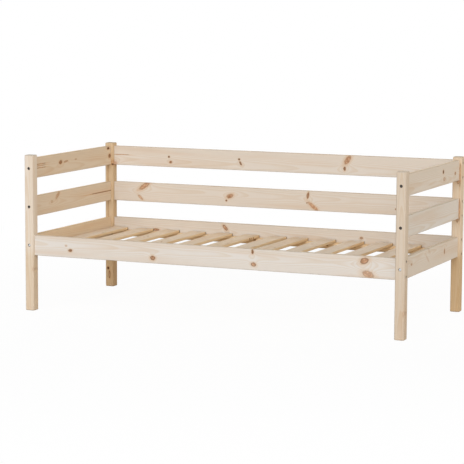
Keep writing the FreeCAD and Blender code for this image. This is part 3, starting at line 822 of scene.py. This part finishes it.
def turned(rows):
    """A closed surface turned about +Z.

    Each row gives the radius at every angle, and the height that it stands at. A vertex is its radius times
    the cosine and sine of its angle. The first and last rows close to a point on the axis.
    """
    radii = np.stack([row[0] for row in rows])
    heights = np.array([row[1] for row in rows])
    columns = radii.shape[1]
    angle = angles_round(columns)
    rings = np.stack([radii * np.cos(angle), radii * np.sin(angle),
                      np.broadcast_to(heights[:, None], radii.shape)], axis=-1)
    first = np.array([[0.0, 0.0, heights[0]]])
    last = np.array([[0.0, 0.0, heights[-1]]])
    points = np.concatenate([first, rings[1:-1].reshape(-1, 3), last])

    index = 1 + np.arange((len(rows) - 2) * columns).reshape(-1, columns)
    after = np.roll(index, -1, axis=1)
    walls = np.stack([index[:-1], index[1:], after[1:], after[:-1]], axis=-1).reshape(-1, 4)
    start = np.stack([np.zeros_like(index[0]), index[0], after[0]], axis=-1)
    finish = np.stack([np.full_like(index[0], len(points) - 1), after[-1], index[-1]], axis=-1)

    steps = np.hypot(np.diff(radii.mean(axis=1)), np.diff(heights))
    run = np.concatenate([[0.0], np.cumsum(steps)])
    profile = np.concatenate([run[:1], np.repeat(run[1:-1], columns), run[-1:]])
    return TurnedShape(points, walls, np.concatenate([start, finish]), profile)


NEARLY_UPRIGHT = 0.9


def facing_frames(directions, turns):
    """For each direction, a rotation that takes +Z to it after a turn about itself, as rows of unit vectors.

    Side is square to the direction and to a helper axis, and up is square to both. The two then turn by the
    cosine and sine of the turn.
    """
    upright = np.abs(directions[:, 2:]) > NEARLY_UPRIGHT
    helper = np.where(upright, [[1.0, 0.0, 0.0]], [UPWARDS])
    side = np.cross(helper, directions)
    up = np.cross(directions, side)
    cosine, sine = np.cos(turns)[:, None], np.sin(turns)[:, None]
    return np.stack([cosine * side + sine * up, cosine * up - sine * side, directions], axis=1)


def repeated(shape, places, directions, turns):
    """Copies of a turned shape: each vertex turned by its copy's rotation and moved to its copy's place.

    Returns the vertices, the quads and the triangles of all copies together.
    """
    points = np.einsum("pk,nkm->npm", shape.points, facing_frames(directions, turns)) + places[:, None, :]
    offset = (np.arange(len(places)) * len(shape.points))[:, None, None]
    return points.reshape(-1, 3), (shape.walls + offset).reshape(-1, 4), (shape.caps + offset).reshape(-1, 3)


def filled_mesh(name, points, quads, triangles):
    """A mesh of these vertices and faces."""
    mesh = bpy.data.meshes.new(name)
    mesh.vertices.add(len(points))
    mesh.vertices.foreach_set("co", points.ravel())
    corners = np.concatenate([quads.ravel(), triangles.ravel()])
    sizes = np.repeat([4, 3], [len(quads), len(triangles)])
    mesh.loops.add(len(corners))
    mesh.loops.foreach_set("vertex_index", corners)
    mesh.polygons.add(len(sizes))
    mesh.polygons.foreach_set("loop_start", np.cumsum(sizes) - sizes)
    mesh.update(calc_edges=True)
    if mesh.validate():
        raise RuntimeError(f"{name} has faulty faces")
    return mesh


def replace_fasteners(name, node, shape, places, directions, tarnish, plating, draw):
    """One object for a CAD node's fasteners: a copy of a turned shape at each place, its axis along that
    place's direction and its driver recess turned at random. One direction or tarnish may serve all."""
    places = np.asarray(places, float)
    directions = np.broadcast_to(np.asarray(directions, float), places.shape)
    turns = draw.uniform(0, 2 * np.pi, len(places))
    mesh = filled_mesh(name, *repeated(shape, places, directions, turns))
    vertex_values = {
        "profile": np.tile(shape.profile, len(places)),
        "tarnish": np.repeat(np.broadcast_to(np.asarray(tarnish, float), len(places)), len(shape.points))}
    for attribute, values in vertex_values.items():
        mesh.attributes.new(attribute, "FLOAT", "POINT").data.foreach_set("value", values)
    mesh.materials.append(plating)
    piece = bpy.data.objects.new(name, mesh)
    bpy.context.scene.collection.objects.link(piece)
    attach(piece, BODY)
    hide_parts(node)


# Small forms of the bolts: the socket's floor as a share of its width, its bevel, and the lip round it
SOCKET_FLOOR = 0.97
SOCKET_BEVEL = 0.1 * MM
SOCKET_LIP = 0.02 * MM
COLUMNS_PER_KNURL = 4

# Small forms of the screws: half-angle of a cross arm in radians, shares of the recess, head and shank, and
# heights of the recess's bevel, the head's rim and the tip
SCREW_COLUMNS = 64
CROSS_ARM = 0.3
RECESS_FLOOR = 0.45
RECESS_FLOOR_DEPTH = 0.9
RECESS_MOUTH = 0.9
RECESS_BEVEL = 0.3 * MM
HEAD_FLAT = 0.65
HEAD_FACE = 0.97
HEAD_RIM = 0.12 * MM
POINT_LENGTH = 3
TIP_WIDTH = 0.3
TIP_HEIGHT = 0.3 * MM


def hexagon(angle, width):
    """Radius of a hexagon of this width across its flats: half the width over the cosine of the angle from
    the nearest flat's middle."""
    from_flat = np.mod(angle + np.pi / 6, np.pi / 3) - np.pi / 6
    return width / 2 / np.cos(from_flat)


def cross(angle, reach, core):
    """Radius of a four-armed cross: its core's radius plus a narrow bell on each arm."""
    from_arm = np.mod(angle + np.pi / 4, np.pi / 2) - np.pi / 4
    return core + (reach - core) * np.exp(-(from_arm / CROSS_ARM) ** 4)


def bolt_shape(settings):
    """A socket-head bolt along +Z with its seat at zero.

    From the top: socket floor, socket walls, chamfered head, knurled side and shank. A knurl is the square
    of a half cosine wave cut into the head's radius.
    """
    columns = COLUMNS_PER_KNURL * settings.knurls
    angle = angles_round(columns)
    plain = np.ones(columns)
    socket = hexagon(angle, settings.socket_width)
    top, chamfer = settings.head_height, settings.head_chamfer
    floor = top - settings.socket_depth
    mouth = settings.socket_width / 2 / math.cos(math.pi / 6) + chamfer / 2
    head, shank, length = settings.head_diameter / 2, settings.shank_diameter / 2, settings.shank_length
    smooth = head * plain - settings.knurl_depth / 4
    knurled = head - settings.knurl_depth * (0.5 - 0.5 * np.cos(settings.knurls * angle)) ** 2
    return turned([
        (0 * plain, floor - chamfer),
        (SOCKET_FLOOR * socket, floor),
        (socket, floor + SOCKET_BEVEL),
        (socket, top - chamfer),
        (mouth * plain, top - SOCKET_LIP),
        (mouth * plain + SOCKET_BEVEL, top),
        ((head - chamfer) * plain, top),
        ((head - chamfer / 3) * plain, top - chamfer / 3),
        (smooth, top - chamfer),
        (knurled, top - 2 * chamfer),
        (knurled, 3 * chamfer),
        (smooth, 2 * chamfer),
        (smooth, chamfer / 2),
        ((head - chamfer / 2) * plain, 0.0),
        (shank * plain, 0.0),
        (shank * plain, shank / 2 - length),
        (shank / 2 * plain, -length),
        (0 * plain, -length)])


def screw_shape(settings, length):
    """A countersunk screw along +Z with its head's face at zero.

    From the top: cross recess, flat face, rim, cone, shank and point. The face's inner ring is a share of
    the head's radius, or the recess where that reaches further. The cone falls as far as it narrows.
    """
    angle = angles_round(SCREW_COLUMNS)
    plain = np.ones(SCREW_COLUMNS)
    recess = cross(angle, settings.cross_reach, settings.cross_core)
    depth = settings.cross_depth
    head, shank = settings.screw_head / 2, settings.screw_shank / 2
    return turned([
        (0 * plain, -depth),
        (RECESS_FLOOR * recess, -RECESS_FLOOR_DEPTH * depth),
        (RECESS_MOUTH * recess, -RECESS_BEVEL),
        (recess, 0.0),
        (np.maximum(recess, HEAD_FLAT * head), 0.0),
        (HEAD_FACE * head * plain, 0.0),
        (head * plain, -HEAD_RIM),
        (shank * plain, shank - head - HEAD_RIM),
        (shank * plain, POINT_LENGTH * shank - length),
        (TIP_WIDTH * shank * plain, TIP_HEIGHT - length),
        (0 * plain, -length)])


# The stage: sides of the floor, waves of its paper for each metre and their shade, and metres from the bed's
# middle where the shadow is gone and where it is full
FLOOR_SIDES = 96
PAPER_WAVES = 60.0
PAPER_SHADE = 0.04
SHADOW_FADE = (3.0, 1.2)

# The camera: pixels of the picture, millimetres of the sensor, and metres that it sees
IMAGE_PIXELS = 464
SENSOR_WIDTH = 36.0
FAR_LIMIT = 200.0


class JUNIORBED_OT_stage(bpy.types.Operator):
    """Makes the floor, the lights, the world and the camera"""

    bl_idname = "junior_bed.make_stage"
    bl_label = "Make Stage"

    def execute(self, context):
        settings = context.scene.junior_bed_studio
        self.set_world(context.scene, settings)
        self.add_floor(context.scene, settings)
        for name, strength, colour, direction in (
                ("key_light", settings.key_strength, WHITE, settings.key_direction),
                ("side_light", settings.side_strength, settings.side_colour, settings.side_direction),
                ("fill_light", settings.fill_strength, WHITE, settings.fill_direction)):
            lamp = bpy.data.lights.new(name, "SUN")
            lamp.energy = strength
            lamp.color = colour
            lamp.angle = settings.softness
            light = bpy.data.objects.new(name, lamp)
            light.rotation_euler = Vector(direction).to_track_quat("Z", "Y").to_euler()
            context.scene.collection.objects.link(light)
        self.add_camera(context.scene, settings)
        context.scene.view_settings.view_transform = "Standard"
        return {"FINISHED"}

    @staticmethod
    def seen(tree):
        """1 for a ray that shows the background: straight to the camera, in a gloss or through glass."""
        rays = Tone.node(tree, "ShaderNodeLightPath", output="Is Camera Ray")
        return rays.larger(rays.output("Is Glossy Ray")).larger(rays.output("Is Transmission Ray"))

    def set_world(self, scene, settings):
        """Even light from all round, on a background that shows as white."""
        scene.world = scene.world or bpy.data.worlds.new("studio")
        scene.world.use_nodes = True
        tree = scene.world.node_tree
        tree.nodes.clear()
        strength = settings.ambient + self.seen(tree) * (1 - settings.ambient)
        background = Tone.node(tree, "ShaderNodeBackground", None,
                               {"Color": opaque(WHITE), "Strength": strength})
        Tone.node(tree, "ShaderNodeOutputWorld", None, {"Surface": background})

    def add_floor(self, scene, settings):
        """A round floor: radius times the cosine and sine of the angle, under the bed's feet."""
        angle = angles_round(FLOOR_SIDES)
        rim = settings.floor_radius * np.stack([np.cos(angle), np.sin(angle), 0 * angle], axis=1)
        mesh = bpy.data.meshes.new("floor")
        mesh.from_pydata(rim.tolist(), [], [list(range(FLOOR_SIDES))])
        mesh.materials.append(self.floor_paper(settings))
        floor = bpy.data.objects.new("floor", mesh)
        scene.collection.objects.link(floor)

    def floor_paper(self, settings):
        """White paper that shows a little of the bed's shadow, and sends warm light back up."""
        material, tree = new_material("white_floor")
        place = own_place(tree)
        paper = noise(tree, place, PAPER_WAVES)
        tint = self.seen(tree).mix(opaque(settings.floor_bounce), opaque(settings.floor_colour))
        tint = tint.times(1 - PAPER_SHADE / 2 + paper * PAPER_SHADE)
        matt = Tone.node(tree, "ShaderNodeBsdfDiffuse", None, {"Color": tint})
        white = Tone.node(tree, "ShaderNodeEmission", None, {"Color": opaque(WHITE), "Strength": 1.0})
        distance = place.vector("LENGTH", output="Value")
        whiteness = self.seen(tree) * (1 - settings.shadow_strength * distance.step(*SHADOW_FADE))
        surface = Tone.node(tree, "ShaderNodeMixShader", None, {0: whiteness, 1: matt, 2: white})
        Tone.node(tree, "ShaderNodeOutputMaterial", None, {"Surface": surface})
        return material

    def add_camera(self, scene, settings):
        """A camera at the photograph's place and angle."""
        azimuth, tilt, roll = settings.camera_azimuth, settings.camera_tilt, settings.camera_roll
        level = Vector((math.cos(azimuth), math.sin(azimuth), 0.0))
        ahead = Vector((-math.sin(azimuth) * math.cos(tilt), math.cos(azimuth) * math.cos(tilt),
                        -math.sin(tilt)))
        above = level.cross(ahead)
        right = level * math.cos(roll) - above * math.sin(roll)
        up = level * math.sin(roll) + above * math.cos(roll)
        lens = bpy.data.cameras.new("camera")
        lens.sensor_width = SENSOR_WIDTH
        lens.lens = settings.focal_pixels * SENSOR_WIDTH / IMAGE_PIXELS
        lens.clip_end = FAR_LIMIT
        camera = bpy.data.objects.new("camera", lens)
        turn = Matrix((right, up, -ahead)).transposed()
        camera.matrix_world = Matrix.Translation(settings.camera_place) @ turn.to_4x4()
        scene.collection.objects.link(camera)
        scene.camera = camera


class JUNIORBED_OT_posts(bpy.types.Operator):
    """Finishes the four posts in pine, with the grain upright"""

    bl_idname = "junior_bed.finish_posts"
    bl_label = "Finish Posts"

    def execute(self, context):
        settings = context.scene.junior_bed_pine
        draw = np.random.default_rng(SEEDS["posts"])
        for corner, knots in POST_KNOTS.items():
            plank = Plank(f"{corner}_post", POST_AXES)
            dress(plank.node, pine(plank, settings, POST_TONE_AND_SHADE[corner], knots, draw))
        return {"FINISHED"}


class JUNIORBED_OT_end_rails(bpy.types.Operator):
    """Finishes the three rails at each end in pine"""

    bl_idname = "junior_bed.finish_end_rails"
    bl_label = "Finish End Rails"

    def execute(self, context):
        settings = context.scene.junior_bed_pine
        draw = np.random.default_rng(SEEDS["end_rails"])
        for place, knots in END_RAIL_KNOTS.items():
            plank = Plank(f"{place}_rail", END_RAIL_AXES)
            dress(plank.node, pine(plank, settings, END_RAIL_STOCK[place], knots, draw, "planed_sheen_offset"))
        return {"FINISHED"}


class JUNIORBED_OT_long_rails(bpy.types.Operator):
    """Finishes the front rail and the three back rails in pine"""

    bl_idname = "junior_bed.finish_long_rails"
    bl_label = "Finish Long Rails"

    def execute(self, context):
        settings = context.scene.junior_bed_pine
        draw = np.random.default_rng(SEEDS["long_rails"])
        front = Plank("front_bed_rail", LONG_RAIL_AXES)
        dress(front.node, pine(front, settings, FRONT_RAIL_STOCK, FRONT_RAIL_KNOTS, draw, "planed_sheen_offset"))
        for level, knots in BACK_RAIL_KNOTS.items():
            plank = Plank(f"back_{level}_rail", LONG_RAIL_AXES)
            dress(plank.node, pine(plank, settings, BACK_RAIL_STOCK[level], knots, draw, "planed_sheen_offset"))
        return {"FINISHED"}


class JUNIORBED_OT_slats(bpy.types.Operator):
    """Finishes the slats and the two ledgers that carry them"""

    bl_idname = "junior_bed.finish_slats"
    bl_label = "Finish Slats"

    def execute(self, context):
        settings = context.scene.junior_bed_pine
        draw = np.random.default_rng(SEEDS["slats"])
        for number, stock in enumerate(SLAT_STOCK, 1):
            plank = Plank(f"slat_{number:02d}", SLAT_AXES)
            knots = SLAT_KNOTS.get(number, []) + stray_knots(draw, plank, SLAT_STRAYS)
            dress(plank.node, pine(plank, settings, stock, knots, draw, "sawn_with_painted_bounce"))
        for side in SIDES_Y:
            plank = Plank(f"{side}_ledger", LONG_RAIL_AXES)
            knots = stray_knots(draw, plank, LEDGER_STRAYS)
            dress(plank.node, pine(plank, settings, LEDGER_PAINTED_BOUNCE_STOCK, knots, draw))
        return {"FINISHED"}


class JUNIORBED_OT_bolts(bpy.types.Operator):
    """Makes the socket-head bolts in the posts"""

    bl_idname = "junior_bed.make_bolts"
    bl_label = "Make Bolts"

    def execute(self, context):
        settings = context.scene.junior_bed_steel
        shape = bolt_shape(settings)
        plating = steel(settings)
        draw = np.random.default_rng(SEEDS["bolts"])
        places, directions, tarnish = self.end_rail_bolts(settings)
        replace_fasteners("end_rail_socket_bolts", "end_rail_bolts", shape, places, directions, tarnish,
                          plating, draw)
        for side, levels in (("front", ("bed",)), ("back", LEVELS)):
            places, directions = self.long_rail_bolts(settings, side, levels)
            replace_fasteners(f"{side}_rail_socket_bolts", f"{side}_rail_bolts", shape, places, directions,
                              BOLT_TARNISH, plating, draw)
        return {"FINISHED"}

    def end_rail_bolts(self, settings):
        """One bolt at each end of each end rail, in the post's front or rear face: place, direction and
        tarnish."""
        seat = self.outer_face("front_left_post", 1) - settings.counterbore
        places, directions, tarnish = [], [], []
        for side in SIDES_X:
            for level in LEVELS:
                middle = Plank(f"{side}_{level}_rail", END_RAIL_AXES).middle
                for side_y in SIDES_Y.values():
                    places.append((middle.x, side_y * seat, middle.z))
                    directions.append((0.0, side_y, 0.0))
                    tarnish.append(BED_BOLT_TARNISH if level == "bed" else BOLT_TARNISH)
        return places, directions, tarnish

    def long_rail_bolts(self, settings, side, levels):
        """A pair of bolts at each end of each long rail, in the post's outer face: place and direction."""
        seat = self.outer_face("front_left_post", 0) - settings.counterbore
        places, directions = [], []
        for level in levels:
            low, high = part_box(f"{side}_{level}_rail")
            middle = (low + high) / 2
            half_pair = (high.z - low.z) / 2 - settings.pair_edge_distance
            for side_x in SIDES_X.values():
                for up in (half_pair, -half_pair):
                    places.append((side_x * seat, middle.y, middle.z + up))
                    directions.append((side_x, 0.0, 0.0))
        return places, directions

    @staticmethod
    def outer_face(post, axis):
        """How far a post's outer face lies from the bed's middle along an axis."""
        low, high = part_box(post)
        return max(abs(low[axis]), abs(high[axis]))


class JUNIORBED_OT_screws(bpy.types.Operator):
    """Makes the countersunk screws in the slats and ledgers"""

    bl_idname = "junior_bed.make_screws"
    bl_label = "Make Screws"

    def execute(self, context):
        settings = context.scene.junior_bed_steel
        plating = steel(settings)
        draw = np.random.default_rng(SEEDS["screws"])
        slats = [Plank(f"slat_{number:02d}", SLAT_AXES).middle.x for number in range(1, SLAT_COUNT + 1)]
        ledger = Plank("back_ledger", LONG_RAIL_AXES)
        for side, middles in (("left", slats[:LEFT_SLATS]), ("right", slats[LEFT_SLATS:])):
            low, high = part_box(f"{side}_slat_screws")
            places = [(x, side_y * ledger.middle.y, high.z) for x in middles for side_y in SIDES_Y.values()]
            replace_fasteners(f"{side}_slat_cross_screws", f"{side}_slat_screws",
                              screw_shape(settings, high.z - low.z), places, UPWARDS, SCREW_TARNISH,
                              plating, draw)

        # The ledgers' screws sit between slats, in every second gap of each group
        gaps = [(first + second) / 2 for first, second in zip(slats, slats[1:])]
        gaps = gaps[:LEFT_SLATS - 1:2] + gaps[LEFT_SLATS::2]
        inner_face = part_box(ledger.node)[0].y
        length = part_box("ledger_screws")[1].y - inner_face
        places = [(x, side_y * inner_face, ledger.middle.z) for x in gaps for side_y in SIDES_Y.values()]
        directions = [(0.0, -side_y, 0.0) for side_y in SIDES_Y.values()] * len(gaps)
        replace_fasteners("ledger_cross_screws", "ledger_screws", screw_shape(settings, length), places,
                          directions, SCREW_TARNISH, plating, draw)
        return {"FINISHED"}


class JUNIORBED_OT_nuts_and_dowels(bpy.types.Operator):
    """Finishes the barrel nuts in zinc and the dowels in beech"""

    bl_idname = "junior_bed.finish_nuts_and_dowels"
    bl_label = "Finish Nuts and Dowels"

    def execute(self, context):
        plating = steel(context.scene.junior_bed_steel, NUT_TARNISH)
        for rails in ("end", "front", "back"):
            dress(f"{rails}_rail_barrel_nuts", plating)
        dress("end_rail_dowels", beech(context.scene.junior_bed_pine))
        return {"FINISHED"}


class JUNIORBED_PT_panel(bpy.types.Panel):
    """The bed's finishes and sizes"""

    bl_label = "Junior Bed"
    bl_idname = "JUNIORBED_PT_panel"
    bl_space_type = "VIEW_3D"
    bl_region_type = "UI"
    bl_category = "Junior Bed"

    def draw(self, context):
        for operator in OPERATORS:
            self.layout.operator(operator.bl_idname)
        for settings in (context.scene.junior_bed_pine, context.scene.junior_bed_steel,
                         context.scene.junior_bed_studio):
            box = self.layout.box()
            for name in settings.__annotations__:
                box.prop(settings, name)


OPERATORS = (JUNIORBED_OT_stage, JUNIORBED_OT_posts, JUNIORBED_OT_end_rails, JUNIORBED_OT_long_rails,
             JUNIORBED_OT_slats, JUNIORBED_OT_bolts, JUNIORBED_OT_screws, JUNIORBED_OT_nuts_and_dowels)
CLASSES = (PineSettings, SteelSettings, StudioSettings, *OPERATORS, JUNIORBED_PT_panel)


def register():
    """Registers the classes and puts the settings on the scene."""
    for item in CLASSES:
        bpy.utils.register_class(item)
    bpy.types.Scene.junior_bed_pine = bpy.props.PointerProperty(type=PineSettings)
    bpy.types.Scene.junior_bed_steel = bpy.props.PointerProperty(type=SteelSettings)
    bpy.types.Scene.junior_bed_studio = bpy.props.PointerProperty(type=StudioSettings)


def unregister():
    """Takes the settings and the classes away again."""
    del bpy.types.Scene.junior_bed_studio
    del bpy.types.Scene.junior_bed_steel
    del bpy.types.Scene.junior_bed_pine
    for item in reversed(CLASSES):
        bpy.utils.unregister_class(item)


def main():
    """Finishes the bed and its stage."""
    register()
    bpy.ops.junior_bed.make_stage()
    bpy.ops.junior_bed.finish_posts()
    bpy.ops.junior_bed.finish_end_rails()
    bpy.ops.junior_bed.finish_long_rails()
    bpy.ops.junior_bed.finish_slats()
    bpy.ops.junior_bed.make_bolts()
    bpy.ops.junior_bed.make_screws()
    bpy.ops.junior_bed.finish_nuts_and_dowels()


if __name__ == "__main__":
    main()
